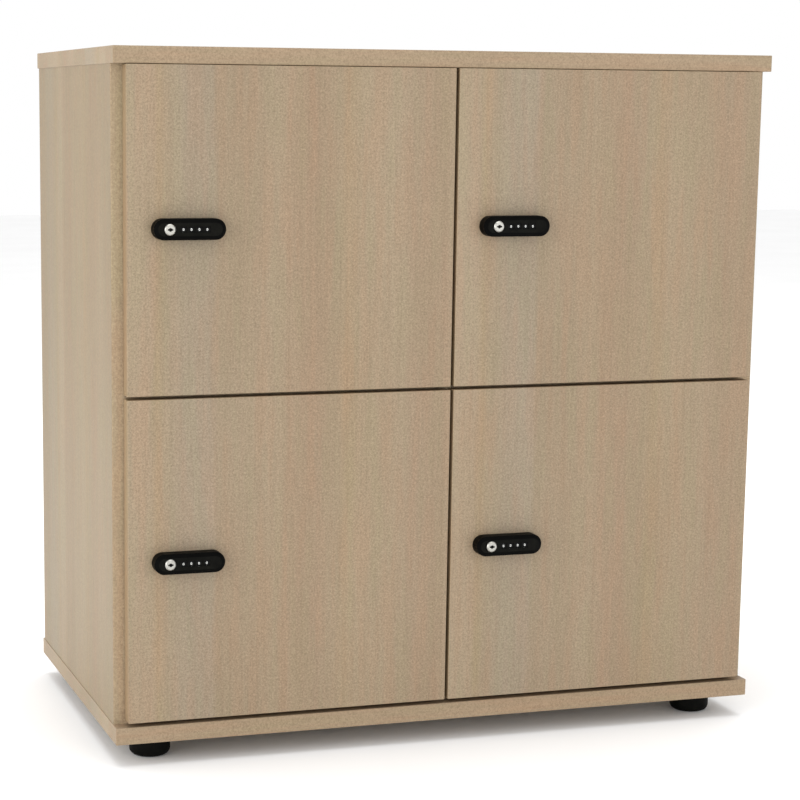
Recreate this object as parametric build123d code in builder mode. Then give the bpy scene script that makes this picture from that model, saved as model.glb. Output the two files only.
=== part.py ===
from build123d import *
import os

os.makedirs("parts", exist_ok=True)

# Four-door office locker, millimetres. +X runs to the right as the doors are faced, the doors face -Y
# and +Z is up. The origin is the centre of the overall box at floor level.

# Driving dimensions: cabinet
cabinet_width = 800
top_depth = 440
carcass_height = 783
foot_height = 27
board = 19
base_board = 20
back_board = 6
side_inset = 1
shelf_height = 397.3
edge_ease = 0.8
fit_gap = 0.05
back_in_rebate = 7
seam_turn = 37

# Driving dimensions: doors
door_board = 19
door_proud = 2
buffer_gap = 1.5
door_gap = 4
door_inset = 14
base_gap = 5
top_gap = 0.6

# Driving dimensions: combination locks
lock_from_edge = 68.3
lock_rise = 185.5
housing_length = 82
housing_height = 23.5
housing_reach = 16
knob_reach = 18
knob_offset = -23.3
knob_radius = 6.2
knob_running = 0.08
spindle_radius = 4
spindle_end = 29
housing_bevel_in = 2.2
housing_bevel_back = 4.5
knob_bevel = 1
keyway_depth = 4
keyway_half_length = 3.1
keyway_half_width = 0.9
keyway_radius = 2
spindle_collar_radius = 5.5
cutout_length = 72.6
cutout_height = 18
chassis_gap = 0.6
chassis_lip_length = 80.6
chassis_lip_height = 23
chassis_lip_thickness = 3
cam_length = 31
cam_width = 12
cam_boss_radius = 8
cam_press = 0.02
cam_front = 24
cam_back = 27
wheel_offsets = (-8, 1, 10, 19)
wheel_radius = 7.6
wheel_width = 6.6
wheel_axis_depth = -8
wheel_facets = 10
wheel_slot_side_gap = 0.3
wheel_slot_radial_gap = 0.35
grip_radius = 0.8
grip_centre_out = 0.45
window_half_height = 3.2
axle_radius = 2
axle_running = 0.08
axle_clear = 2.3
cheek_xs = ((-14.1, -12), (23, 25.1))
cheek_half_height = 3.6
cheek_reach = 2.6
cheek_gap = 0.4

# Driving dimensions: concealed hinges, measured from the hinge edge and the front face of a door
pivot_in = 4.5
pivot_back = 5
hinge_from_end = 70
cup_in = 22.5
cup_radius = 17.4
cup_inner_radius = 15.6
cup_depth = 12.5
cup_skin = 1.1
flange_thickness = 1.2
flange_half_width = 16
flange_half_height = 26
flange_screw_rise = 22
flange_screw_radius = 2
link_pin = (-12, 22)
link_bend = (-35.5, 45)
link_tip = (-34, 9.8)
link_thickness = 2.4
link_width = 8
link_bend_radius = 7
link_tip_radius = 1.4
link_pin_radius = 1
link_barrel_radius = 2
arm_inset = 15.5
arm_ys = (31, 76)
arm_half_height = 8
arm_screw_ys = (50, 68)
arm_screw_radius = 3.2
arm_screw_depth = 2
ear_front = 20.6
ear_back = 32
ear_half_width = 1.9
ear_gap = 0.4
plate_thickness = 3
plate_ys = (27, 78)
plate_half_height = 9
wing_ys = (44, 58)
wing_half_height = 26

# Driving dimensions: fittings
foot_radius = 24
foot_round = 8
foot_inset = 51
foot_bore_radius = 5.5
foot_bore_depth = 15
foot_screw_radius = 2
foot_screw_grip = 13
foot_screw_head_radius = 4.5
foot_screw_head_depth = 3
foot_recess_length = 6.4
foot_recess_width = 1
foot_recess_depth = 1.4
dowel_radius = 4
dowel_length = 30
dowel_in_panel = 10
dowel_end_gap = 1
shelf_dowel_gap = 0.5
cam_disc_radius = 7.5
cam_disc_depth = 14
cam_disc_from_end = 24
cam_bolt_radius = 3
cam_slot_length = 8
cam_slot_width = 1.4
cam_slot_depth = 1.5
back_screw_radius = 1.75
back_screw_length = 25
back_screw_from_side = 13
screw_head_radius = 3.5
screw_head_depth = 1.75
screw_recess_length = 4
screw_recess_width = 0.8
screw_recess_depth = 1.2
strike_thickness = 1.5
strike_depth = 27
strike_reach = 14
strike_half_height = 14
strike_setback = 0.5
strike_hole_back = 18
strike_hole_rise = 7
strike_hole_radius = 2.1
buffer_radius = 2.5
buffer_from_end = 40
buffer_thickness = 1.2

# Planes of the assembly
front_y = -(top_depth + door_proud + knob_reach) / 2 + door_proud + knob_reach
rear_y = front_y + top_depth
door_y = front_y - door_proud
carcass_y = door_y + door_board + buffer_gap
side_rear_y = rear_y - back_board
base_z = foot_height
base_top_z = base_z + base_board
top_z = base_z + carcass_height
top_under_z = top_z - board
shelf_z = base_z + shelf_height
half_width = cabinet_width / 2
side_outer_x = half_width - side_inset
side_inner_x = side_outer_x - board
divider_x = board / 2

# Columns and rows of doors: hinge-side wall, strike-side wall and the door's own edges
columns = {
    "left": {"edges": (-half_width + door_inset, -door_gap / 2), "walls": (-side_inner_x, -divider_x)},
    "right": {"edges": (door_gap / 2, half_width - door_inset), "walls": (divider_x, side_inner_x)},
}
rows = {
    "upper": (shelf_z + door_gap / 2, top_under_z - top_gap),
    "lower": (base_top_z + base_gap, shelf_z - door_gap / 2),
}
doors = [(row, column) for row in rows for column in columns]

# Centres of the upright boards, and where their fixings sit from front to back
upright_centres = (-side_outer_x + board / 2, 0, side_outer_x - board / 2)
dowel_ys = (-150, 20, 190)
cam_fitting_ys = (-110, 150)
shelf_dowel_ys = {"left": (-150, 190), "right": (-120, 160)}
back_screw_heights = (100, 250, 590, 740)
back_screw_xs = (-side_outer_x + back_screw_from_side, 0, side_outer_x - back_screw_from_side)


def save(part, name):
    part.label = name
    export_step(part, "parts/" + name + ".step")


def block(xs, ys, zs, mode=Mode.ADD):
    """A box between two values on each axis."""
    centre = ((xs[0] + xs[1]) / 2, (ys[0] + ys[1]) / 2, (zs[0] + zs[1]) / 2)
    with Locations(centre):
        Box(xs[1] - xs[0], ys[1] - ys[0], zs[1] - zs[0], mode=mode)


def rod(start, axis, radius, length, mode=Mode.ADD):
    """A round bar from a start point along +X, +Y or +Z; the seam of its wall is turned off the axes."""
    turns = {"x": (0, 90, seam_turn), "y": (-90, 0, seam_turn), "z": (0, 0, seam_turn)}
    with Locations(start):
        Cylinder(
            radius,
            length,
            rotation=turns[axis],
            align=(Align.CENTER, Align.CENTER, Align.MIN),
            mode=mode,
        )


def lock_centre(row, column):
    """X and Z of the middle of a door's lock."""
    return columns[column]["edges"][0] + lock_from_edge, rows[row][0] + lock_rise


def hinge_heights(row):
    low, high = rows[row]
    return (low + hinge_from_end, high - hinge_from_end)


def cam_disc_heights():
    """Height of the disc and the direction of its bolt, at the foot and the head of an upright."""
    return ((base_top_z + cam_disc_from_end, -1), (top_under_z - cam_disc_from_end, 1))


def cut_cross(axis, centre, length, width, depth):
    """A cross recess or a disc's driver slots, sunk from a face that looks along an axis."""
    x, y, z = centre
    for half_a, half_b in ((length / 2, width / 2), (width / 2, length / 2)):
        first = (-half_a, half_a)
        second = (-half_b, half_b)
        along = sorted((0, depth))
        if axis == "x":
            spans = (along, first, second)
        elif axis == "y":
            spans = (first, along, second)
        else:
            spans = (first, second, along)
        places = [(value + low, value + high) for value, (low, high) in zip((x, y, z), spans)]
        block(*places, Mode.SUBTRACT)


def cut_back_screw(x, z):
    """The pilot hole of a back panel screw, in the rear edge of a board."""
    depth = back_screw_length - back_board + dowel_end_gap
    rod((x, side_rear_y - depth, z), "y", back_screw_radius + fit_gap, depth, Mode.SUBTRACT)


def cut_panel_fixings(z_face, direction):
    """Blind holes for dowels and cam bolts in the top or the bottom board."""
    depth = dowel_in_panel + dowel_end_gap
    for x in upright_centres:
        for y in dowel_ys:
            start = (x, y, z_face if direction > 0 else z_face - depth)
            rod(start, "z", dowel_radius + fit_gap, depth, Mode.SUBTRACT)
        for y in cam_fitting_ys:
            start = (x, y, z_face if direction > 0 else z_face - depth)
            rod(start, "z", cam_bolt_radius + fit_gap, depth, Mode.SUBTRACT)


def cut_upright_fixings(x_centre, face_x, inward):
    """Dowel holes, cam disc pockets and bolt bores in an upright; inward points into the board."""
    depth = dowel_length - dowel_in_panel + dowel_end_gap
    for y in dowel_ys:
        rod((x_centre, y, base_top_z), "z", dowel_radius + fit_gap, depth, Mode.SUBTRACT)
        rod((x_centre, y, top_under_z - depth), "z", dowel_radius + fit_gap, depth, Mode.SUBTRACT)
    pocket = cam_disc_depth + fit_gap
    for y in cam_fitting_ys:
        for z, direction in cam_disc_heights():
            x_start = face_x if inward > 0 else face_x - pocket
            rod((x_start, y, z), "x", cam_disc_radius + fit_gap, pocket, Mode.SUBTRACT)
            z_start = z if direction > 0 else base_top_z
            rod(
                (x_centre, y, z_start),
                "z",
                cam_bolt_radius + fit_gap,
                cam_disc_from_end,
                Mode.SUBTRACT,
            )
    for z in back_screw_heights:
        x = min(back_screw_xs, key=lambda value: abs(value - x_centre))
        cut_back_screw(x, z)


# ---------------------------------------------------------------- cabinet boards

with BuildPart() as top_panel:
    block((-half_width, half_width), (front_y, rear_y), (top_under_z, top_z))
    fillet(top_panel.edges(), edge_ease)
    cut_panel_fixings(top_under_z, 1)
save(top_panel.part, "top_panel")

with BuildPart() as bottom_panel:
    block((-half_width, half_width), (front_y, rear_y), (base_z, base_top_z))
    fillet(bottom_panel.edges(), edge_ease)
    cut_panel_fixings(base_top_z, -1)
    for x in (-half_width + foot_inset, half_width - foot_inset):
        for y in (front_y + foot_inset, rear_y - foot_inset):
            depth = foot_screw_grip + dowel_end_gap
            rod((x, y, base_z), "z", foot_screw_radius + fit_gap, depth, Mode.SUBTRACT)
save(bottom_panel.part, "bottom_panel")


def side_panel(name, side):
    """An outer upright; side is -1 for the left and +1 for the right."""
    xs = sorted((side * side_inner_x, side * side_outer_x))
    shelf_ys = shelf_dowel_ys["left" if side < 0 else "right"]
    with BuildPart() as panel:
        block(xs, (carcass_y, side_rear_y), (base_top_z, top_under_z))
        fillet(panel.edges().filter_by(Axis.Z).group_by(Axis.Y)[0], edge_ease)
        cut_upright_fixings(sum(xs) / 2, side * side_inner_x, side)
        for y in shelf_ys:
            x_start = side_inner_x if side > 0 else -side_inner_x - dowel_in_panel
            rod((x_start, y, shelf_z), "x", dowel_radius + fit_gap, dowel_in_panel, Mode.SUBTRACT)
    save(panel.part, name)


side_panel("left_side_panel", -1)
side_panel("right_side_panel", 1)

with BuildPart() as centre_divider:
    block((-divider_x, divider_x), (carcass_y, side_rear_y), (base_top_z, top_under_z))
    fillet(centre_divider.edges().filter_by(Axis.Z).group_by(Axis.Y)[0], edge_ease)
    cut_upright_fixings(0, -divider_x, 1)
    for y in shelf_dowel_ys["left"]:
        rod((-divider_x, y, shelf_z), "x", dowel_radius + fit_gap, dowel_in_panel, Mode.SUBTRACT)
    for y in shelf_dowel_ys["right"]:
        start = (divider_x - dowel_in_panel, y, shelf_z)
        rod(start, "x", dowel_radius + fit_gap, dowel_in_panel, Mode.SUBTRACT)
save(centre_divider.part, "centre_divider")


def shelf(column):
    walls = columns[column]["walls"]
    depth = dowel_length - dowel_in_panel + dowel_end_gap
    with BuildPart() as panel:
        block(walls, (carcass_y, side_rear_y), (shelf_z - board / 2, shelf_z + board / 2))
        fillet(panel.edges().filter_by(Axis.X).group_by(Axis.Y)[0], edge_ease)
        for y in shelf_dowel_ys[column]:
            for x_start in (walls[0], walls[1] - depth):
                rod((x_start, y, shelf_z), "x", dowel_radius + fit_gap, depth, Mode.SUBTRACT)
        cut_back_screw(sum(walls) / 2, shelf_z)
    save(panel.part, column + "_shelf")


for column in columns:
    shelf(column)


def back_screw_places():
    """X and Z of every back panel screw: up the three uprights, and one in each shelf."""
    places = [(x, z) for x in back_screw_xs for z in back_screw_heights]
    return places + [(sum(columns[column]["walls"]) / 2, shelf_z) for column in columns]


with BuildPart() as back_panel:
    back_half_width = side_outer_x - back_in_rebate
    block(
        (-back_half_width, back_half_width),
        (side_rear_y, rear_y),
        (base_top_z + fit_gap, top_under_z - fit_gap),
    )
    with BuildSketch(Plane.XZ.offset(-rear_y)) as screw_pattern:
        with Locations(*back_screw_places()):
            Circle(back_screw_radius + 2 * fit_gap)
    extrude(amount=back_board, mode=Mode.SUBTRACT)
    with BuildSketch(Plane.XZ.offset(-rear_y)) as head_pattern:
        with Locations(*back_screw_places()):
            Circle(screw_head_radius + 2 * fit_gap)
    extrude(amount=screw_head_depth + 2 * fit_gap, mode=Mode.SUBTRACT)
save(back_panel.part, "back_panel")

# ---------------------------------------------------------------- feet and fixings

foot_places = [
    (side * (half_width - foot_inset), y)
    for side in (-1, 1)
    for y in (front_y + foot_inset, rear_y - foot_inset)
]

with BuildPart() as feet:
    for x, y in foot_places:
        rod((x, y, 0), "z", foot_radius, foot_height)
    fillet(feet.edges().group_by(Axis.Z)[0], foot_round)
    for x, y in foot_places:
        rod((x, y, 0), "z", foot_bore_radius, foot_bore_depth, Mode.SUBTRACT)
        rod((x, y, 0), "z", foot_screw_radius + fit_gap, foot_height, Mode.SUBTRACT)
save(feet.part, "feet")

with BuildPart() as foot_screws:
    head_z = foot_bore_depth - foot_screw_head_depth
    shank_length = foot_height - foot_bore_depth + foot_screw_grip
    for x, y in foot_places:
        rod((x, y, foot_bore_depth), "z", foot_screw_radius, shank_length)
        rod((x, y, head_z), "z", foot_screw_head_radius, foot_screw_head_depth)
        cut_cross("z", (x, y, head_z), foot_recess_length, foot_recess_width, foot_recess_depth)
save(foot_screws.part, "foot_screws")

with BuildPart() as panel_dowels:
    for x in upright_centres:
        for y in dowel_ys:
            rod((x, y, base_top_z - dowel_in_panel), "z", dowel_radius, dowel_length)
            rod((x, y, top_under_z + dowel_in_panel - dowel_length), "z", dowel_radius, dowel_length)
    for column in columns:
        left_wall, right_wall = columns[column]["walls"]
        grip = dowel_in_panel - shelf_dowel_gap
        length = dowel_length - shelf_dowel_gap
        for y in shelf_dowel_ys[column]:
            rod((left_wall - grip, y, shelf_z), "x", dowel_radius, length)
            rod((right_wall + grip - length, y, shelf_z), "x", dowel_radius, length)
save(panel_dowels.part, "panel_dowels")

with BuildPart() as cam_fittings:
    for x_centre, face_x, inward in (
        (upright_centres[0], -side_inner_x, -1),
        (upright_centres[1], -divider_x, 1),
        (upright_centres[2], side_inner_x, 1),
    ):
        for y in cam_fitting_ys:
            for z, direction in cam_disc_heights():
                x_start = face_x if inward > 0 else face_x - cam_disc_depth
                rod((x_start, y, z), "x", cam_disc_radius, cam_disc_depth)
                z_start = z if direction > 0 else z - cam_disc_from_end - dowel_in_panel
                rod((x_centre, y, z_start), "z", cam_bolt_radius, cam_disc_from_end + dowel_in_panel)
                cut_cross("x", (face_x, y, z), cam_slot_length, cam_slot_width, inward * cam_slot_depth)
save(cam_fittings.part, "cam_fittings")

with BuildPart() as back_screws:
    for x, z in back_screw_places():
        shank_length = back_screw_length - screw_head_depth
        rod((x, rear_y - back_screw_length, z), "y", back_screw_radius, shank_length)
        rod((x, rear_y - screw_head_depth, z), "y", screw_head_radius, screw_head_depth)
        cut_cross("y", (x, rear_y, z), screw_recess_length, screw_recess_width, -screw_recess_depth)
save(back_screws.part, "back_screws")

with BuildPart() as strike_plates:
    for row, column in doors:
        wall_x = columns[column]["walls"][0]
        z = lock_centre(row, column)[1]
        heights = (z - strike_half_height, z + strike_half_height)
        front = carcass_y + strike_setback
        block((wall_x, wall_x + strike_thickness), (front, front + strike_depth), heights)
        block((wall_x, wall_x + strike_reach), (front, front + strike_thickness), heights)
        for dz in (-strike_hole_rise, strike_hole_rise):
            start = (wall_x, front + strike_hole_back, z + dz)
            rod(start, "x", strike_hole_radius, strike_thickness, Mode.SUBTRACT)
save(strike_plates.part, "strike_plates")

with BuildPart() as door_buffers:
    for row, column in doors:
        door_edge = columns[column]["edges"][0]
        wall_x = columns[column]["walls"][0]
        for z in (rows[row][0] + buffer_from_end, rows[row][1] - buffer_from_end):
            start = ((door_edge + wall_x) / 2, carcass_y - buffer_thickness, z)
            rod(start, "y", buffer_radius, buffer_thickness)
save(door_buffers.part, "door_buffers")

# ---------------------------------------------------------------- hinges


def hinge_point(column, point):
    """World X and Y of a point given from the door's hinge edge and front face."""
    return columns[column]["edges"][1] + point[0], door_y + point[1]


def from_front(pair):
    """Two depths behind the front face of the doors, as world Y."""
    return door_y + pair[0], door_y + pair[1]


with BuildPart() as hinge_arms:
    for row, column in doors:
        edge_x = columns[column]["edges"][1]
        wall_x = columns[column]["walls"][1]
        pin_x, pin_y = hinge_point(column, link_pin)
        plate_x = (wall_x - plate_thickness, wall_x)
        arm_x = (edge_x - arm_inset, wall_x - plate_thickness)
        ear_x = (pin_x - ear_half_width, pin_x + ear_half_width)
        ear_inner = link_width / 2 + ear_gap
        for z in hinge_heights(row):
            block(plate_x, from_front(plate_ys), (z - plate_half_height, z + plate_half_height))
            block(plate_x, from_front(wing_ys), (z - wing_half_height, z + wing_half_height))
            block(arm_x, from_front(arm_ys), (z - arm_half_height, z + arm_half_height))
            for low, high in ((-arm_half_height, -ear_inner), (ear_inner, arm_half_height)):
                block(ear_x, from_front((ear_front, ear_back)), (z + low, z + high))
            rod((pin_x, pin_y, z - arm_half_height), "z", link_pin_radius, 2 * arm_half_height)
            for y in from_front(arm_screw_ys):
                rod((arm_x[0], y, z), "x", arm_screw_radius, arm_screw_depth, Mode.SUBTRACT)
save(hinge_arms.part, "hinge_arms")


def hinge_links(row, column):
    """The bent links of a door's two hinges, each on its own pin."""
    pin = hinge_point(column, link_pin)
    bend = hinge_point(column, link_bend)
    tip = hinge_point(column, link_tip)
    with BuildPart() as links:
        for z in hinge_heights(row):
            with BuildSketch(Plane.XY.offset(z - link_width / 2)):
                with BuildLine():
                    FilletPolyline(pin, bend, tip, radius=link_bend_radius)
                trace(line_width=link_thickness)
                with Locations(pin):
                    Circle(link_barrel_radius)
                with Locations(tip):
                    Circle(link_tip_radius)
                with Locations(pin):
                    Circle(link_pin_radius + axle_running, mode=Mode.SUBTRACT)
            extrude(amount=link_width)
    save(links.part, "hinge_links_" + row + "_" + column)


def hinge_cups(row, column):
    """The cups in the back of a door, open where the links reach in."""
    cup_x, back_y = hinge_point(column, (-cup_in, door_board))
    with BuildPart() as cups:
        flange_x = (cup_x - flange_half_width, cup_x + flange_half_width)
        flange_y = (back_y, back_y + flange_thickness)
        for z in hinge_heights(row):
            block(flange_x, flange_y, (z - flange_half_height, z + flange_half_height))
            rod((cup_x, back_y - cup_depth, z), "y", cup_radius, cup_depth)
        for z in hinge_heights(row):
            inside = cup_depth - cup_skin + flange_thickness
            rod((cup_x, back_y - cup_depth + cup_skin, z), "y", cup_inner_radius, inside, Mode.SUBTRACT)
            for dz in (-flange_screw_rise, flange_screw_rise):
                start = (cup_x, back_y, z + dz)
                rod(start, "y", flange_screw_radius, flange_thickness, Mode.SUBTRACT)
    save(cups.part, "hinge_cups_" + row + "_" + column)


# ---------------------------------------------------------------- doors


def door_panel(row, column):
    lock_x, lock_z = lock_centre(row, column)
    cup_x, back_y = hinge_point(column, (-cup_in, door_board))
    with BuildPart() as door:
        block(columns[column]["edges"], (door_y, back_y), rows[row])
        fillet(door.edges(), edge_ease)
        with BuildSketch(Plane.XZ.offset(-back_y)):
            with Locations((lock_x, lock_z)):
                SlotOverall(cutout_length, cutout_height)
        extrude(amount=door_board, mode=Mode.SUBTRACT)
        for z in hinge_heights(row):
            depth = cup_depth + fit_gap
            rod((cup_x, back_y - depth, z), "y", cup_radius + fit_gap, depth, Mode.SUBTRACT)
    save(door.part, "door_" + row + "_" + column)


# ---------------------------------------------------------------- locks

slot_width = wheel_width + 2 * wheel_slot_side_gap
slot_radius = wheel_radius + wheel_slot_radial_gap


def lock_housing(row, column):
    """Black outer body: knob bore, four wheel slots with windows, and a slot for the axle."""
    lock_x, lock_z = lock_centre(row, column)
    axis_y = door_y + wheel_axis_depth
    with BuildPart() as housing:
        with BuildSketch(Plane.XZ.offset(-door_y)):
            with Locations((lock_x, lock_z)):
                SlotOverall(housing_length, housing_height)
        extrude(amount=housing_reach)
        front_edges = housing.edges().group_by(Axis.Y)[0]
        chamfer(front_edges, length=housing_bevel_in, length2=housing_bevel_back)
        knob_start = (lock_x + knob_offset, door_y - housing_reach, lock_z)
        rod(knob_start, "y", knob_radius + knob_running, housing_reach, Mode.SUBTRACT)
        for offset in wheel_offsets:
            xs = (lock_x + offset - slot_width / 2, lock_x + offset + slot_width / 2)
            rod((xs[0], axis_y, lock_z), "x", slot_radius, slot_width, Mode.SUBTRACT)
            block(xs, (axis_y, door_y), (lock_z - slot_radius, lock_z + slot_radius), Mode.SUBTRACT)
            window_z = (lock_z - window_half_height, lock_z + window_half_height)
            block(xs, (door_y - housing_reach, axis_y), window_z, Mode.SUBTRACT)
        axle_x = (lock_x + cheek_xs[0][0] - cheek_gap, lock_x + cheek_xs[1][1] + cheek_gap)
        rod((axle_x[0], axis_y, lock_z), "x", axle_clear, axle_x[1] - axle_x[0], Mode.SUBTRACT)
        block(axle_x, (axis_y, door_y), (lock_z - axle_clear, lock_z + axle_clear), Mode.SUBTRACT)
        pocket_half_height = cheek_half_height + cheek_gap
        for low, high in cheek_xs:
            xs = (lock_x + low - cheek_gap, lock_x + high + cheek_gap)
            zs = (lock_z - pocket_half_height, lock_z + pocket_half_height)
            block(xs, (axis_y - cheek_reach - cheek_gap, door_y), zs, Mode.SUBTRACT)
    save(housing.part, "lock_housing_" + row + "_" + column)


def lock_chassis(row, column):
    """Case in the door's cut-out, with the cheeks and axle that carry the number wheels."""
    lock_x, lock_z = lock_centre(row, column)
    axis_y = door_y + wheel_axis_depth
    back_y = door_y + door_board
    with BuildPart() as chassis:
        with BuildSketch(Plane.XZ.offset(-back_y)):
            with Locations((lock_x, lock_z)):
                SlotOverall(cutout_length - chassis_gap, cutout_height - chassis_gap)
        extrude(amount=door_board)
        with BuildSketch(Plane.XZ.offset(-back_y - chassis_lip_thickness)):
            with Locations((lock_x, lock_z)):
                SlotOverall(chassis_lip_length, chassis_lip_height)
        extrude(amount=chassis_lip_thickness)
        zs = (lock_z - cheek_half_height, lock_z + cheek_half_height)
        for low, high in cheek_xs:
            block((lock_x + low, lock_x + high), (axis_y - cheek_reach, door_y), zs)
        axle_length = cheek_xs[1][1] - cheek_xs[0][0]
        rod((lock_x + cheek_xs[0][0], axis_y, lock_z), "x", axle_radius, axle_length)
        bore_start = (lock_x + knob_offset, door_y, lock_z)
        bore_length = door_board + chassis_lip_thickness
        rod(bore_start, "y", spindle_radius + knob_running, bore_length, Mode.SUBTRACT)
    save(chassis.part, "lock_chassis_" + row + "_" + column)


def lock_knob(row, column):
    """Silver keyed knob, its spindle and the collar that holds the cam on."""
    lock_x, lock_z = lock_centre(row, column)
    x = lock_x + knob_offset
    with BuildPart() as knob:
        rod((x, door_y - knob_reach, lock_z), "y", knob_radius, knob_reach - 1)
        chamfer(knob.edges().group_by(Axis.Y)[0], knob_bevel)
        rod((x, door_y - 1, lock_z), "y", spindle_radius, spindle_end + 1)
        rod((x, door_y + cam_back, lock_z), "y", spindle_collar_radius, spindle_end - cam_back)
        keyway_x = (x - keyway_half_length, x + keyway_half_length)
        keyway_y = (door_y - knob_reach, door_y - knob_reach + keyway_depth)
        keyway_z = (lock_z - keyway_half_width, lock_z + keyway_half_width)
        block(keyway_x, keyway_y, keyway_z, Mode.SUBTRACT)
        rod((x, keyway_y[0], lock_z), "y", keyway_radius, keyway_depth, Mode.SUBTRACT)
    save(knob.part, "lock_knob_" + row + "_" + column)


def lock_cam(row, column):
    """Flat latch lever behind the door, pointing up while the lock is open."""
    lock_x, lock_z = lock_centre(row, column)
    x = lock_x + knob_offset
    with BuildPart() as cam:
        with BuildSketch(Plane.XZ.offset(-door_y - cam_back)):
            with Locations((x, lock_z + cam_length / 2 - cam_width / 4)):
                SlotOverall(cam_length + cam_width / 2, cam_width, rotation=90)
            with Locations((x, lock_z)):
                Circle(cam_boss_radius)
                Circle(spindle_radius + cam_press, mode=Mode.SUBTRACT)
        extrude(amount=cam_back - cam_front)
    save(cam.part, "lock_cam_" + row + "_" + column)


def number_wheel(row, column, place, offset):
    """Number wheel with a grip groove between each pair of digits."""
    lock_x, lock_z = lock_centre(row, column)
    axis_y = door_y + wheel_axis_depth
    with BuildPart() as wheel:
        with BuildSketch(Plane.YZ.offset(lock_x + offset - wheel_width / 2)):
            with Locations((axis_y, lock_z)):
                Circle(wheel_radius)
                Circle(axle_radius + axle_running, mode=Mode.SUBTRACT)
                groove_circle = wheel_radius + grip_centre_out
                with PolarLocations(groove_circle, wheel_facets, start_angle=180 / wheel_facets):
                    Circle(grip_radius, mode=Mode.SUBTRACT)
        extrude(amount=wheel_width)
    save(wheel.part, "wheel_" + row + "_" + column + "_" + str(place))


for row, column in doors:
    door_panel(row, column)
    hinge_cups(row, column)
    hinge_links(row, column)
    lock_housing(row, column)
    lock_chassis(row, column)
    lock_knob(row, column)
    lock_cam(row, column)
    for place, offset in enumerate(wheel_offsets, start=1):
        number_wheel(row, column, place, offset)
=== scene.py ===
import math

import bmesh
import bpy
from mathutils import Matrix, Vector


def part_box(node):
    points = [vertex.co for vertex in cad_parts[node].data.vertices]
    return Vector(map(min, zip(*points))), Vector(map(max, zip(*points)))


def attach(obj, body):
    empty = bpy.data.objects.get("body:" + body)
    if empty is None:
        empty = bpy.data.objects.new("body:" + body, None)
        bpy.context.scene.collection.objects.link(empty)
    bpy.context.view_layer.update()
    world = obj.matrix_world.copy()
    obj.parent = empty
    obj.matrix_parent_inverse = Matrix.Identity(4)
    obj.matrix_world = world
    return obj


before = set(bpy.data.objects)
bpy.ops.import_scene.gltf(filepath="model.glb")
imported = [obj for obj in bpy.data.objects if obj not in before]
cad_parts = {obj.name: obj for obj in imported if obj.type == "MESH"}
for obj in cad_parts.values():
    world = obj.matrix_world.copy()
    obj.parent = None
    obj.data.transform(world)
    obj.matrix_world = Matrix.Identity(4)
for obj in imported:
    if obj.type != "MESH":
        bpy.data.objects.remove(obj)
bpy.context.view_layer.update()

# The row frame: metres, +X right as the doors are faced, doors face -Y, +Z up, floor at z = 0.
DOORS = [(row, column) for row in ("upper", "lower") for column in ("left", "right")]
WHEEL_COUNT = 4

# Printed digits: how tall, how proud of the wheel, and how thick with the part sunk into it.
# The weight thickens the typeface's outlines, and the cuts let a digit wrap round its wheel.
DIGIT_COUNT = 10
DIGIT_HEIGHT = 0.0029
DIGIT_PROUD = 0.00006
DIGIT_THICKNESS = 0.00014
DIGIT_WEIGHT = 0.021
DIGIT_CUTS = 6
DIGIT_WELD = 1e-5 * DIGIT_HEIGHT

# Screw heads: rings as shares of the radius and the height, and a cross recess likewise
SCREW_SIDES = 24
SCREW_RINGS = ((1.0, 0.0), (1.0, 0.3), (0.9, 0.75), (0.64, 1.0))
RECESS_LENGTH = 0.5
RECESS_WIDTH = 0.13
RECESS_TAPER = 0.85
RECESS_FLOOR = 0.3

# Where the ironwork's screws sit, from the boxes of the doors, walls and locks
HINGE_FROM_END = 0.070
FLANGE_SCREW_RISE = 0.022
ARM_FACE = 0.0155
ARM_SCREW_YS = (0.050, 0.068)
ARM_RECESS = 0.002
WING_SCREW_Y = 0.051
WING_SCREW_RISE = 0.0195
PLATE_THICKNESS = 0.003
STRIKE_SCREW_Y = 0.0185
STRIKE_SCREW_RISE = 0.007
STRIKE_THICKNESS = 0.0015
CHASSIS_SCREW_XS = (-0.0352, 0.0335)

# Radius and height of each kind of screw head
CUP_SCREW = (0.0036, 0.0013)
ARM_SCREW = (0.0029, 0.0016)
WING_SCREW = (0.0037, 0.0015)
CHASSIS_SCREW = (0.0026, 0.0010)
STRIKE_SCREW = (0.0033, 0.0013)

# Keyway of the knob: its reach from the axis, the depths between which painted shade darkens it,
# and the colour of that painted shade
KEYWAY_REACH = 0.0033
KEYWAY_EDGE = 1.1 * KEYWAY_REACH
KEYWAY_SHADE_START_DEPTH = 0.00012
KEYWAY_FULL_SHADE_DEPTH = 0.0005
KEYWAY_SHADE_COLOUR = (0.02, 0.019, 0.017)

# Floor, lights (name, place, aim, size, energy) and camera
FLOOR_REACH = 12
FLOOR_CORNERS = ((-1, -1), (1, -1), (1, 1), (-1, 1))
FLOOR_TONES = ((0.3, 0.93), (0.7, 0.955))
LIGHTS = (
    ("key", (-3.6, -1.8, 1.1), (0, 0, 0.4), 2.8, 74),
    ("fill", (1.2, -3.4, 0.2), (0.1, 0, 0.1), 2.6, 26),
    ("overhead", (0.0, 0.3, 4.2), (0, 0.3, 0), 3.5, 105),
)
FOCAL_PIXELS = 2148.5
IMAGE_PIXELS = 800
SENSOR = 36.0
CAMERA_SHIFT = (0.14, 0.06)
CAMERA_PLACE = (-0.915014, -2.517903, 0.746439)
CAMERA_YAW = math.radians(17.247)
CAMERA_PITCH = math.radians(9.044)
CAMERA_ROLL = math.radians(0.443)

scene = bpy.context.scene


# ------------------------------------------------------------------ node helpers


def new_material(name):
    """An empty node material; returns the material, its nodes, its links and its shader."""
    material = bpy.data.materials.new(name)
    material.use_nodes = True
    nodes = material.node_tree.nodes
    return material, nodes, material.node_tree.links, nodes["Principled BSDF"]


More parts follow.
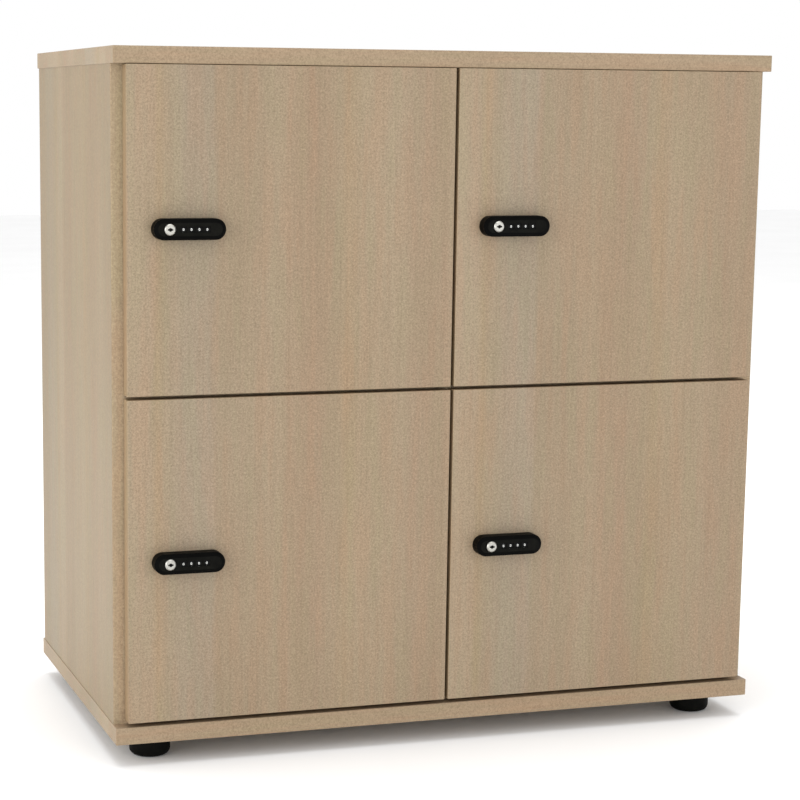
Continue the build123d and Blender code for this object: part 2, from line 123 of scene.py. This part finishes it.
def add(nodes, kind, inputs=None, **settings):
    """A node with its properties set, and the inputs that are plain values."""
    node = nodes.new(kind)
    for key, value in settings.items():
        setattr(node, key, value)
    for key, value in (inputs or {}).items():
        node.inputs[key].default_value = value
    return node


def connect(links, value, socket):
    """A link from a socket, or a plain number or colour set on the input."""
    if isinstance(value, bpy.types.NodeSocket):
        links.new(value, socket)
    elif isinstance(value, tuple):
        socket.default_value = (*value, 1)
    else:
        socket.default_value = value


def placed(nodes, links, scale=(1, 1, 1), shift=(0, 0, 0)):
    """Object coordinates, which are the row frame's metres, stretched and moved."""
    coordinates = nodes.new("ShaderNodeTexCoord")
    mapping = add(nodes, "ShaderNodeMapping", {"Scale": scale, "Location": shift})
    links.new(coordinates.outputs["Object"], mapping.inputs["Vector"])
    return mapping.outputs["Vector"]


def noise(nodes, links, vector, scale=1.0, detail=2.0, rough=0.5):
    """The grey of a noise texture."""
    node = add(nodes, "ShaderNodeTexNoise", {"Scale": scale, "Detail": detail, "Roughness": rough})
    links.new(vector, node.inputs["Vector"])
    return node.outputs["Fac"]


def ramp(nodes, links, factor, stops):
    """Colour stops given as (position, (r, g, b)) or (position, grey)."""
    node = nodes.new("ShaderNodeValToRGB")
    elements = node.color_ramp.elements
    while len(elements) < len(stops):
        elements.new(0.5)
    for element, (position, colour) in zip(elements, stops):
        element.position = position
        element.color = (*colour, 1) if isinstance(colour, tuple) else (colour, colour, colour, 1)
    links.new(factor, node.inputs["Fac"])
    return node.outputs["Color"]


def mix(nodes, links, factor, first, second, blend="MIX"):
    """A colour mix of sockets or plain values."""
    node = add(nodes, "ShaderNodeMix", data_type="RGBA", blend_type=blend)
    sockets = (node.inputs[0], node.inputs[6], node.inputs[7])
    for socket, value in zip(sockets, (factor, first, second)):
        connect(links, value, socket)
    return node.outputs[2]


def calculate(nodes, links, operation, *values):
    """The result of a maths node on sockets or plain numbers."""
    node = add(nodes, "ShaderNodeMath", operation=operation)
    for socket, value in zip(node.inputs, values):
        connect(links, value, socket)
    return node.outputs[0]


def spread(nodes, links, value, low, high, from_low=0.0, from_high=1.0):
    """A value moved from one range to another."""
    node = add(
        nodes,
        "ShaderNodeMapRange",
        {"From Min": from_low, "From Max": from_high, "To Min": low, "To Max": high},
    )
    links.new(value, node.inputs["Value"])
    return node.outputs["Result"]


def bump(nodes, links, height, shader, strength, distance):
    """Relief on a shader, from a grey height."""
    node = add(nodes, "ShaderNodeBump", {"Strength": strength, "Distance": distance})
    links.new(height, node.inputs["Height"])
    links.new(node.outputs["Normal"], shader.inputs["Normal"])


def facing_axis(nodes, links, axis):
    """How squarely the surface looks along one of the object's own axes, from 0 to 1."""
    split = nodes.new("ShaderNodeSeparateXYZ")
    coordinates = nodes.new("ShaderNodeTexCoord")
    links.new(coordinates.outputs["Normal"], split.inputs["Vector"])
    return calculate(nodes, links, "ABSOLUTE", split.outputs[axis])


# ------------------------------------------------------------------ oak melamine

AXES = {"x": 0, "y": 1, "z": 2}
OAK_BASE = (0.281, 0.2115, 0.1365)
UPRIGHT_BASE = (0.268, 0.201, 0.120)
BAND_PERIOD = 0.388
BAND_START = 0.386
BAND_WANDER = 0.02
BAND_RIPPLE = 0.012
# Broad bands across one door: pale, straw, grey-mauve, brown, straw, pink-brown and so on
BANDS = (
    (0.00, (1.068, 1.081, 1.095)),
    (0.07, (1.054, 1.054, 1.068)),
    (0.09, (1.04, 1.014, 0.96)),
    (0.11, (1.014, 1.027, 1.027)),
    (0.17, (0.986, 1.027, 1.095)),
    (0.25, (0.973, 1.014, 1.081)),
    (0.27, (0.96, 0.96, 0.96)),
    (0.39, (0.973, 0.966, 0.96)),
    (0.44, (1.014, 1.014, 1.014)),
    (0.52, (0.993, 0.953, 0.946)),
    (0.57, (0.98, 0.939, 0.932)),
    (0.63, (0.98, 0.98, 0.96)),
    (0.66, (1.027, 1.0, 0.946)),
    (0.70, (1.027, 1.027, 1.014)),
    (0.83, (1.014, 1.014, 1.014)),
    (0.87, (0.986, 0.96, 0.96)),
    (0.97, (0.986, 0.953, 0.946)),
    (1.00, (1.04, 1.04, 1.04)),
)
# Noises stretched along the grain: the scale across it, the scale along it, and an offset
WANDER_NOISE = (6, 1.6, 4.3)
RIPPLE_NOISE = (90, 5.0, 9.1)
CLOUD_NOISE = (14, 2.2, 1.7)
TINT_NOISE = (75, 7.0, 6.6)
STREAK_NOISE = (210, 5.0, 1.3)
FIBRE_NOISE = (620, 26.0, 5.2)
# Finer layers that multiply the colour: four along the grain, then two of specks
CLOUD = ((0.30, (0.975, 0.965, 0.95)), (0.70, (1.02, 1.03, 1.045)))
TINT = ((0.34, (1.035, 0.985, 0.97)), (0.5, 1.0), (0.66, (0.98, 1.015, 0.99)))
STREAK = ((0.28, (0.95, 0.945, 0.935)), (0.5, 1.0), (0.74, (1.035, 1.035, 1.035)))
FIBRE = ((0.28, (0.95, 0.945, 0.935)), (0.5, 1.0), (0.72, (1.04, 1.04, 1.04)))
SPECKLE = ((0.28, (0.80, 0.79, 0.77)), (0.5, 1.0), (0.72, (1.19, 1.20, 1.22)))
GRIT = ((0.25, 0.86), (0.75, 1.12))
SPECKLE_SCALE = 430.0
GRIT_SCALE = 1300.0


def oak(name, grain, across, face, edge_tone_and_painted_light, shift=0.0, base=OAK_BASE):
    """Light oak melamine: grain along one axis, bands across another, faces square to a third."""
    material, nodes, links, shader = new_material(name)
    along = AXES[grain]

    def stretched(across_scale, along_scale, offset):
        scale = [across_scale] * 3
        scale[along] = along_scale
        return placed(nodes, links, tuple(scale), (shift + offset,) * 3)

    # Where the point lies across the board, with the bands wandering a little along the grain.
    wander = noise(nodes, links, stretched(*WANDER_NOISE), detail=3.0)
    ripple = noise(nodes, links, stretched(*RIPPLE_NOISE), detail=2.0)
    split = nodes.new("ShaderNodeSeparateXYZ")
    links.new(placed(nodes, links, shift=(BAND_START + shift,) * 3), split.inputs["Vector"])
    place = calculate(nodes, links, "DIVIDE", split.outputs[AXES[across]], BAND_PERIOD)
    for drift, reach in ((wander, BAND_WANDER), (ripple, BAND_RIPPLE)):
        place = calculate(nodes, links, "ADD", place, spread(nodes, links, drift, -reach, reach))
    bands = ramp(nodes, links, calculate(nodes, links, "FRACT", place), BANDS)

    cloud = noise(nodes, links, stretched(*CLOUD_NOISE), detail=3.0)
    tint = noise(nodes, links, stretched(*TINT_NOISE), detail=2.0)
    streak = noise(nodes, links, stretched(*STREAK_NOISE), detail=3.0, rough=0.6)
    fibre = noise(nodes, links, stretched(*FIBRE_NOISE), detail=2.0, rough=0.6)
    speckle = noise(nodes, links, placed(nodes, links), SPECKLE_SCALE, detail=2.0, rough=0.75)
    grit = noise(nodes, links, placed(nodes, links), GRIT_SCALE, detail=1.0, rough=0.6)

    colour = mix(nodes, links, 1.0, base, bands, "MULTIPLY")
    for factor, stops in (
        (cloud, CLOUD),
        (tint, TINT),
        (streak, STREAK),
        (fibre, FIBRE),
        (speckle, SPECKLE),
        (grit, GRIT),
    ):
        colour = mix(nodes, links, 1.0, colour, ramp(nodes, links, factor, stops), "MULTIPLY")

    # The edge banding is a shade off the faces; on the uprights it is also painted light,
    # brightening their front edges against the shade of the recess beside the doors.
    edge = spread(nodes, links, facing_axis(nodes, links, AXES[face]), 1.0, 0.0, 0.45, 0.75)
    colour = mix(nodes, links, edge, colour, mix(nodes, links, 1.0, colour, edge_tone_and_painted_light, "MULTIPLY"))
    links.new(colour, shader.inputs["Base Color"])

    pits = calculate(nodes, links, "MULTIPLY", speckle, 0.6)
    relief = calculate(nodes, links, "ADD", fibre, pits)
    links.new(spread(nodes, links, relief, 0.40, 0.56, 0.5, 1.1), shader.inputs["Roughness"])
    shader.inputs["Specular IOR Level"].default_value = 0.3
    bump(nodes, links, relief, shader, strength=0.3, distance=0.0002)
    return material


# ------------------------------------------------------------------ plastics, metals and the rest


def moulded(name, dark, light, roughness, specular, grain=2600.0, painted_rim_shade=1.0):
    """Moulded plastic: fine grain and uneven gloss, and, where asked, painted shade that darkens
    what doesn't face forward.
    """
    material, nodes, links, shader = new_material(name)
    texture = noise(nodes, links, placed(nodes, links), scale=grain, detail=2.0, rough=0.6)
    patch = noise(nodes, links, placed(nodes, links), scale=90.0, detail=3.0, rough=0.6)
    blend = calculate(nodes, links, "MULTIPLY", texture, patch)
    colour = ramp(nodes, links, blend, ((0.15, dark), (0.45, light)))
    # Painted shade: faces turned away from the object's Y axis, such as a sloping rim, are
    # darkened.
    if painted_rim_shade != 1.0:
        shade = spread(nodes, links, facing_axis(nodes, links, AXES["y"]), painted_rim_shade, 1.0, 0.93, 0.99)
        colour = mix(nodes, links, 1.0, colour, shade, "MULTIPLY")
    links.new(colour, shader.inputs["Base Color"])
    links.new(spread(nodes, links, patch, *roughness, 0.3, 0.7), shader.inputs["Roughness"])
    shader.inputs["Specular IOR Level"].default_value = specular
    bump(nodes, links, texture, shader, strength=0.25, distance=0.00008)
    return material


def metal(name, dark, light, roughness, scale=(260.0, 260.0, 260.0), relief=0.15):
    """Plated or cast metal with drawn marks along the axis with the smallest scale."""
    material, nodes, links, shader = new_material(name)
    marks = noise(nodes, links, placed(nodes, links, scale), detail=4.0, rough=0.65)
    patch = noise(nodes, links, placed(nodes, links), scale=120.0, detail=3.0, rough=0.6)
    fine = noise(nodes, links, placed(nodes, links), scale=3200.0, detail=1.0, rough=0.6)
    tone = mix(nodes, links, 0.5, marks, patch)
    links.new(ramp(nodes, links, tone, ((0.3, dark), (0.7, light))), shader.inputs["Base Color"])
    links.new(spread(nodes, links, marks, *roughness, 0.3, 0.7), shader.inputs["Roughness"])
    shader.inputs["Metallic"].default_value = 1.0
    height = mix(nodes, links, 0.5, marks, fine)
    bump(nodes, links, height, shader, strength=relief, distance=0.00008)
    return material


def turned_knob(name, node):
    """Satin nickel faced on a lathe: fine rings round the knob's own axis, and painted shade
    inside the keyway.
    """
    low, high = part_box(node)
    centre = tuple(-(a + b) / 2 for a, b in zip(low, high))
    material, nodes, links, shader = new_material(name)
    rings = add(
        nodes,
        "ShaderNodeTexWave",
        {"Scale": 900.0, "Distortion": 1.5, "Detail": 2.0, "Detail Scale": 3.0},
        wave_type="RINGS",
        rings_direction="Y",
    )
    here = placed(nodes, links, shift=centre)
    links.new(here, rings.inputs["Vector"])
    patch = noise(nodes, links, placed(nodes, links), scale=300.0, detail=3.0, rough=0.6)
    tone = mix(nodes, links, 0.4, rings.outputs["Fac"], patch)
    plated = ramp(nodes, links, tone, ((0.2, (0.30, 0.295, 0.27)), (0.8, (0.53, 0.52, 0.48))))
    # Painted shade: inside the keyway, which is near the axis and behind the face, the metal is
    # painted dark.
    split = nodes.new("ShaderNodeSeparateXYZ")
    links.new(here, split.inputs["Vector"])
    across = calculate(nodes, links, "POWER", split.outputs["X"], 2.0)
    up = calculate(nodes, links, "POWER", split.outputs["Z"], 2.0)
    radius = calculate(nodes, links, "SQRT", calculate(nodes, links, "ADD", across, up))
    near = spread(nodes, links, radius, 1.0, 0.0, KEYWAY_REACH, KEYWAY_EDGE)
    face = low[1] + centre[1]
    depths = (face + KEYWAY_SHADE_START_DEPTH, face + KEYWAY_FULL_SHADE_DEPTH)
    deep = spread(nodes, links, split.outputs["Y"], 0.0, 1.0, *depths)
    painted_keyway_shade = calculate(nodes, links, "MULTIPLY", near, deep)
    links.new(mix(nodes, links, painted_keyway_shade, plated, KEYWAY_SHADE_COLOUR), shader.inputs["Base Color"])
    links.new(spread(nodes, links, tone, 0.30, 0.44), shader.inputs["Roughness"])
    shader.inputs["Metallic"].default_value = 1.0
    bump(nodes, links, rings.outputs["Fac"], shader, strength=0.12, distance=0.00005)
    return material


def printed_digits():
    """Matt off-white paint with the pinholes of pad printing."""
    material, nodes, links, shader = new_material("digit_paint")
    grain = noise(nodes, links, placed(nodes, links), scale=5200.0, detail=2.0, rough=0.6)
    colours = ((0.3, (0.62, 0.63, 0.6)), (0.6, (0.86, 0.87, 0.84)))
    links.new(ramp(nodes, links, grain, colours), shader.inputs["Base Color"])
    links.new(spread(nodes, links, grain, 0.45, 0.65), shader.inputs["Roughness"])
    bump(nodes, links, grain, shader, strength=0.2, distance=0.00004)
    return material


def beech():
    """Compressed beech of the dowels: pale, with short dark rays."""
    material, nodes, links, shader = new_material("dowel_beech")
    stretched = placed(nodes, links, scale=(900.0, 900.0, 160.0))
    rays = noise(nodes, links, stretched, detail=3.0, rough=0.6)
    tone = noise(nodes, links, placed(nodes, links), scale=70.0)
    colour = ramp(nodes, links, rays, ((0.3, (0.42, 0.27, 0.15)), (0.6, (0.62, 0.43, 0.26))))
    shade = ramp(nodes, links, tone, ((0.3, 0.92), (0.7, 1.05)))
    links.new(mix(nodes, links, 1.0, colour, shade, "MULTIPLY"), shader.inputs["Base Color"])
    links.new(spread(nodes, links, rays, 0.55, 0.75), shader.inputs["Roughness"])
    bump(nodes, links, rays, shader, strength=0.3, distance=0.0001)
    return material


def soft_clear():
    """Clear polyurethane of the stick-on door buffers."""
    material, nodes, links, shader = new_material("buffer_clear")
    haze = noise(nodes, links, placed(nodes, links), scale=700.0)
    colours = ((0.3, (0.80, 0.82, 0.80)), (0.7, (0.92, 0.93, 0.92)))
    links.new(ramp(nodes, links, haze, colours), shader.inputs["Base Color"])
    links.new(spread(nodes, links, haze, 0.12, 0.3), shader.inputs["Roughness"])
    shader.inputs["Transmission Weight"].default_value = 0.85
    shader.inputs["IOR"].default_value = 1.47
    bump(nodes, links, haze, shader, strength=0.1, distance=0.00005)
    return material


door_oak = oak("oak_doors", grain="z", across="x", face="y", edge_tone_and_painted_light=(1.0, 0.94, 0.85))
side_oak = oak(
    "oak_uprights",
    grain="z",
    across="y",
    face="x",
    # Partly the banding's own tone, partly painted light that lifts the front edges out of the
    # shade beside the doors
    edge_tone_and_painted_light=(1.43, 1.46, 1.56),
    shift=0.31,
    base=UPRIGHT_BASE,
)
board_oak = oak(
    "oak_boards",
    grain="x",
    across="y",
    face="z",
    edge_tone_and_painted_light=(1.1, 1.1, 1.08),
    shift=0.17,
)
back_oak = oak(
    "oak_back",
    grain="z",
    across="x",
    face="y",
    edge_tone_and_painted_light=(0.9, 0.85, 0.78),
    shift=0.53,
)
lock_black = moulded(
    "lock_black",
    dark=(0.002, 0.002, 0.0015),
    light=(0.0085, 0.0083, 0.0065),
    roughness=(0.42, 0.55),
    specular=0.045,
    # Painted shade on the housing's sloping rim
    painted_rim_shade=0.2,
)
wheel_black = moulded(
    "wheel_black",
    dark=(0.003, 0.003, 0.003),
    light=(0.008, 0.008, 0.0075),
    roughness=(0.35, 0.5),
    specular=0.09,
    grain=3600.0,
)
foot_black = moulded(
    "foot_black",
    dark=(0.0025, 0.0025, 0.002),
    light=(0.006, 0.006, 0.005),
    roughness=(0.5, 0.65),
    specular=0.05,
    grain=1500.0,
)
zinc = metal(
    "steel_zinc",
    dark=(0.42, 0.42, 0.41),
    light=(0.62, 0.63, 0.63),
    roughness=(0.34, 0.5),
    scale=(900.0, 300.0, 300.0),
)
nickel = metal(
    "hinge_nickel",
    dark=(0.55, 0.54, 0.51),
    light=(0.76, 0.75, 0.72),
    roughness=(0.22, 0.36),
    scale=(500.0, 500.0, 90.0),
)
cast = metal(
    "chassis_cast",
    dark=(0.30, 0.30, 0.30),
    light=(0.46, 0.46, 0.46),
    roughness=(0.45, 0.62),
    relief=0.4,
)
digit_paint = printed_digits()

finishes = {
    "top_panel": board_oak,
    "bottom_panel": board_oak,
    "left_shelf": board_oak,
    "right_shelf": board_oak,
    "left_side_panel": side_oak,
    "right_side_panel": side_oak,
    "centre_divider": side_oak,
    "back_panel": back_oak,
    "feet": foot_black,
    "foot_screws": zinc,
    "back_screws": zinc,
    "cam_fittings": zinc,
    "strike_plates": zinc,
    "hinge_arms": nickel,
    "panel_dowels": beech(),
    "door_buffers": soft_clear(),
}
for row, column in DOORS:
    door = f"{row}_{column}"
    finishes[f"door_{door}"] = door_oak
    finishes[f"hinge_cups_{door}"] = nickel
    finishes[f"hinge_links_{door}"] = nickel
    finishes[f"lock_housing_{door}"] = lock_black
    finishes[f"lock_chassis_{door}"] = cast
    finishes[f"lock_knob_{door}"] = turned_knob(f"knob_{door}", f"lock_knob_{door}")
    finishes[f"lock_cam_{door}"] = zinc
    for place in range(1, WHEEL_COUNT + 1):
        finishes[f"wheel_{door}_{place}"] = wheel_black

for name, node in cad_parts.items():
    node.data.materials.clear()
    node.data.materials.append(finishes[name])


# ------------------------------------------------------------------ mesh pieces


def pour(source, target):
    """The mesh of one bmesh added to another; the source is freed."""
    copy = bpy.data.meshes.new("copy")
    source.to_mesh(copy)
    source.free()
    target.from_mesh(copy)
    bpy.data.meshes.remove(copy)


def piece(name, shape, material, body):
    """A new object from a bmesh, riding on a body."""
    mesh = bpy.data.meshes.new(name)
    shape.to_mesh(mesh)
    shape.free()
    mesh.materials.append(material)
    made = bpy.data.objects.new(name, mesh)
    scene.collection.objects.link(made)
    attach(made, body)


def middle(node):
    """The middle of a node's box."""
    low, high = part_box(node)
    return Vector([(a + b) / 2 for a, b in zip(low, high)])


def flat_digit(character):
    """A digit's filled outline, centred, at its printed height, cut across so that it can wrap."""
    outline = bpy.data.curves.new("digit_outline", "FONT")
    outline.body = character
    outline.offset = DIGIT_WEIGHT
    holder = bpy.data.objects.new("digit_outline", outline)
    filled = bpy.data.meshes.new_from_object(holder)
    shape = bmesh.new()
    shape.from_mesh(filled)
    bpy.data.objects.remove(holder)
    bpy.data.meshes.remove(filled)
    xs = [v.co.x for v in shape.verts]
    ys = [v.co.y for v in shape.verts]
    scale = DIGIT_HEIGHT / (max(ys) - min(ys))
    centre = Vector(((max(xs) + min(xs)) / 2, (max(ys) + min(ys)) / 2, 0))
    for v in shape.verts:
        v.co = (v.co - centre) * scale
    bmesh.ops.remove_doubles(shape, verts=shape.verts, dist=DIGIT_WELD)
    for i in range(1, DIGIT_CUTS):
        level = DIGIT_HEIGHT * (i / DIGIT_CUTS - 0.5)
        everything = shape.verts[:] + shape.edges[:] + shape.faces[:]
        bmesh.ops.bisect_plane(shape, geom=everything, plane_co=(0, level, 0), plane_no=(0, 1, 0))
    return shape


def digit_ring(node):
    """The ten digits round one wheel, 0 facing forward and the rest counting upwards."""
    low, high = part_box(node)
    centre = middle(node)
    radius = (high[1] - low[1]) / 2 + DIGIT_PROUD - DIGIT_THICKNESS
    ring = bmesh.new()
    for value in range(DIGIT_COUNT):
        shape = flat_digit(str(value))
        flat = shape.faces[:]
        raised = bmesh.ops.extrude_face_region(shape, geom=flat, use_keep_orig=True)
        for v in raised["geom"]:
            if isinstance(v, bmesh.types.BMVert):
                v.co.z = DIGIT_THICKNESS
        for v in shape.verts:
            angle = math.tau * value / DIGIT_COUNT + v.co.y / radius
            reach = radius + v.co.z
            v.co = centre + Vector((v.co.x, -reach * math.cos(angle), reach * math.sin(angle)))
        bmesh.ops.recalc_face_normals(shape, faces=shape.faces)
        pour(shape, ring)
    return ring


def cross_corners(a, b):
    """The corners of a cross whose arms reach a from its middle and are 2 b wide."""
    right = ((a, -b), (a, b), (b, b), (b, a))
    left = ((-b, a), (-b, b), (-a, b), (-a, -b))
    foot = ((-b, -b), (-b, -a), (b, -a), (b, -b))
    return right + left + foot


def screw_head(target, centre, facing, radius, height):
    """A domed screw head with a cross recess, standing on a surface that faces a direction."""
    head = bmesh.new()
    rings = []
    angles = [math.tau * i / SCREW_SIDES for i in range(SCREW_SIDES)]
    for share, rise in SCREW_RINGS:
        reach = radius * share
        points = [(reach * math.cos(a), reach * math.sin(a), height * rise) for a in angles]
        rings.append([head.verts.new(point) for point in points])
    for lower, upper in zip(rings, rings[1:]):
        for i in range(SCREW_SIDES):
            j = (i + 1) % SCREW_SIDES
            head.faces.new((lower[i], lower[j], upper[j], upper[i]))
    head.faces.new(rings[0][::-1])
    corners = cross_corners(radius * RECESS_LENGTH, radius * RECESS_WIDTH)
    mouth = [head.verts.new((x, y, height)) for x, y in corners]
    sunk = [(x * RECESS_TAPER, y * RECESS_TAPER, height * RECESS_FLOOR) for x, y in corners]
    floor = [head.verts.new(point) for point in sunk]
    for i in range(len(corners)):
        j = (i + 1) % len(corners)
        head.faces.new((mouth[i], mouth[j], floor[j], floor[i]))
    head.faces.new(floor)
    around = [head.edges.get((rings[-1][i], rings[-1][i - 1])) for i in range(SCREW_SIDES)]
    around += [head.edges.get((mouth[i], mouth[i - 1])) for i in range(len(mouth))]
    bmesh.ops.bridge_loops(head, edges=around)
    bmesh.ops.recalc_face_normals(head, faces=head.faces)
    turn = Vector(facing).to_track_quat("Z", "Y").to_matrix().to_4x4()
    bmesh.ops.transform(head, matrix=Matrix.Translation(centre) @ turn, verts=head.verts)
    pour(head, target)


# The screws of every door's ironwork, and the digits of its wheels
hinge_screws = bmesh.new()
strike_screws = bmesh.new()
carcass_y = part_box("centre_divider")[0][1]
walls = {
    "left": (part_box("left_side_panel")[1][0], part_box("centre_divider")[0][0]),
    "right": (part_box("centre_divider")[1][0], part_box("right_side_panel")[0][0]),
}
for row, column in DOORS:
    door = f"{row}_{column}"
    body = f"door_{door}"
    low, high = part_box(f"door_{door}")
    hinge_edge, door_y = high[0], low[1]
    heights = (low[2] + HINGE_FROM_END, high[2] - HINGE_FROM_END)
    cups = middle(f"hinge_cups_{door}")
    flange_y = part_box(f"hinge_cups_{door}")[1][1]
    cup_screws = bmesh.new()
    for z in heights:
        for rise in (-FLANGE_SCREW_RISE, FLANGE_SCREW_RISE):
            screw_head(cup_screws, (cups.x, flange_y, z + rise), (0, 1, 0), *CUP_SCREW)
        for y in ARM_SCREW_YS:
            seat = (hinge_edge - ARM_FACE + ARM_RECESS, door_y + y, z)
            screw_head(hinge_screws, seat, (-1, 0, 0), *ARM_SCREW)
        for rise in (-WING_SCREW_RISE, WING_SCREW_RISE):
            seat = (walls[column][1] - PLATE_THICKNESS, door_y + WING_SCREW_Y, z + rise)
            screw_head(hinge_screws, seat, (-1, 0, 0), *WING_SCREW)
    piece(f"cup_screws_{door}", cup_screws, zinc, body)

    lock = middle(f"lock_chassis_{door}")
    lip_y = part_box(f"lock_chassis_{door}")[1][1]
    chassis_screws = bmesh.new()
    for x in CHASSIS_SCREW_XS:
        screw_head(chassis_screws, (lock.x + x, lip_y, lock.z), (0, 1, 0), *CHASSIS_SCREW)
    piece(f"chassis_screws_{door}", chassis_screws, zinc, body)
    for rise in (-STRIKE_SCREW_RISE, STRIKE_SCREW_RISE):
        seat = (walls[column][0] + STRIKE_THICKNESS, carcass_y + STRIKE_SCREW_Y, lock.z + rise)
        screw_head(strike_screws, seat, (1, 0, 0), *STRIKE_SCREW)

    for place in range(1, WHEEL_COUNT + 1):
        wheel = f"wheel_{door}_{place}"
        piece(f"digits_{door}_{place}", digit_ring(wheel), digit_paint, wheel)

piece("hinge_arm_screws", hinge_screws, zinc, "cabinet")
piece("strike_screws", strike_screws, zinc, "cabinet")


# ------------------------------------------------------------------ floor, light and camera

mesh = bpy.data.meshes.new("floor")
corners = [(x * FLOOR_REACH, y * FLOOR_REACH, 0) for x, y in FLOOR_CORNERS]
mesh.from_pydata(corners, [], [range(len(corners))])
floor = bpy.data.objects.new("floor", mesh)
scene.collection.objects.link(floor)
material, nodes, links, shader = new_material("floor")
cloud = noise(nodes, links, placed(nodes, links), scale=2.5, detail=3.0)
links.new(ramp(nodes, links, cloud, FLOOR_TONES), shader.inputs["Base Color"])
links.new(spread(nodes, links, cloud, 0.75, 0.85), shader.inputs["Roughness"])
shader.inputs["Specular IOR Level"].default_value = 0.2
mesh.materials.append(material)

world = bpy.data.worlds.new("world")
world.use_nodes = True
background = world.node_tree.nodes["Background"]
background.inputs["Color"].default_value = (1, 1, 1, 1)
background.inputs["Strength"].default_value = 1.0
scene.world = world
scene.view_settings.view_transform = "Standard"


def softbox(name, place, aim, size, energy):
    """A square area light that looks at a point."""
    data = bpy.data.lights.new(name, "AREA")
    data.size = size
    data.energy = energy
    made = bpy.data.objects.new(name, data)
    direction = Vector(aim) - Vector(place)
    turn = direction.to_track_quat("-Z", "Y").to_matrix().to_4x4()
    made.matrix_world = Matrix.Translation(place) @ turn
    scene.collection.objects.link(made)


for light in LIGHTS:
    softbox(*light)

camera_data = bpy.data.cameras.new("camera")
camera_data.sensor_width = SENSOR
camera_data.lens = FOCAL_PIXELS * SENSOR / IMAGE_PIXELS
camera_data.shift_x, camera_data.shift_y = CAMERA_SHIFT
camera = bpy.data.objects.new("camera", camera_data)
scene.collection.objects.link(camera)
scene.camera = camera
forward = Vector((
    math.sin(CAMERA_YAW) * math.cos(CAMERA_PITCH),
    math.cos(CAMERA_YAW) * math.cos(CAMERA_PITCH),
    -math.sin(CAMERA_PITCH),
))
looking = forward.to_track_quat("-Z", "Y").to_matrix() @ Matrix.Rotation(CAMERA_ROLL, 3, "Z")
camera.matrix_world = Matrix.Translation(CAMERA_PLACE) @ looking.to_4x4()
